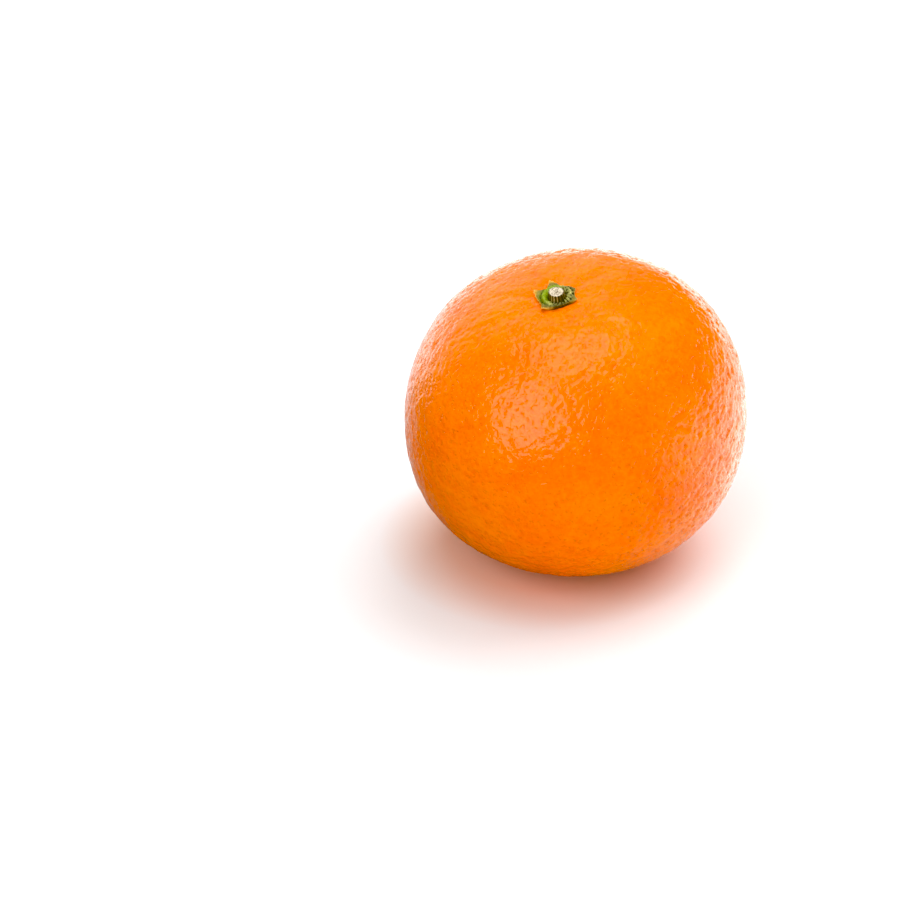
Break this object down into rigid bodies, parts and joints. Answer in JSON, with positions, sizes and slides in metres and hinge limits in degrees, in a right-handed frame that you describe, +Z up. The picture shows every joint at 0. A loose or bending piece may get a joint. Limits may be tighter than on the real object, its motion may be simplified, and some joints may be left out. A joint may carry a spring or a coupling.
{
  "type": "mandarin",
  "caption": "Whole unpeeled mandarin with its green star-shaped calyx and a short cut stem stub, resting on a small flat spot.",
  "frame": {"origin": "middle of the small flat spot that the fruit rests on", "axes": "+Z up from the surface; the stem end leans forward, towards -Y, and a little to the left, towards -X"},
  "size_m": [0.0656, 0.0659, 0.0586],
  "materials": {
    "peel": "satin",
    "calyx": "matte",
    "stem": "matte"
  },
  "bodies": {
    "root": {"fruit": "peel", "calyx": "calyx", "stem_stub": "stem"}
  },
  "joints": []
}
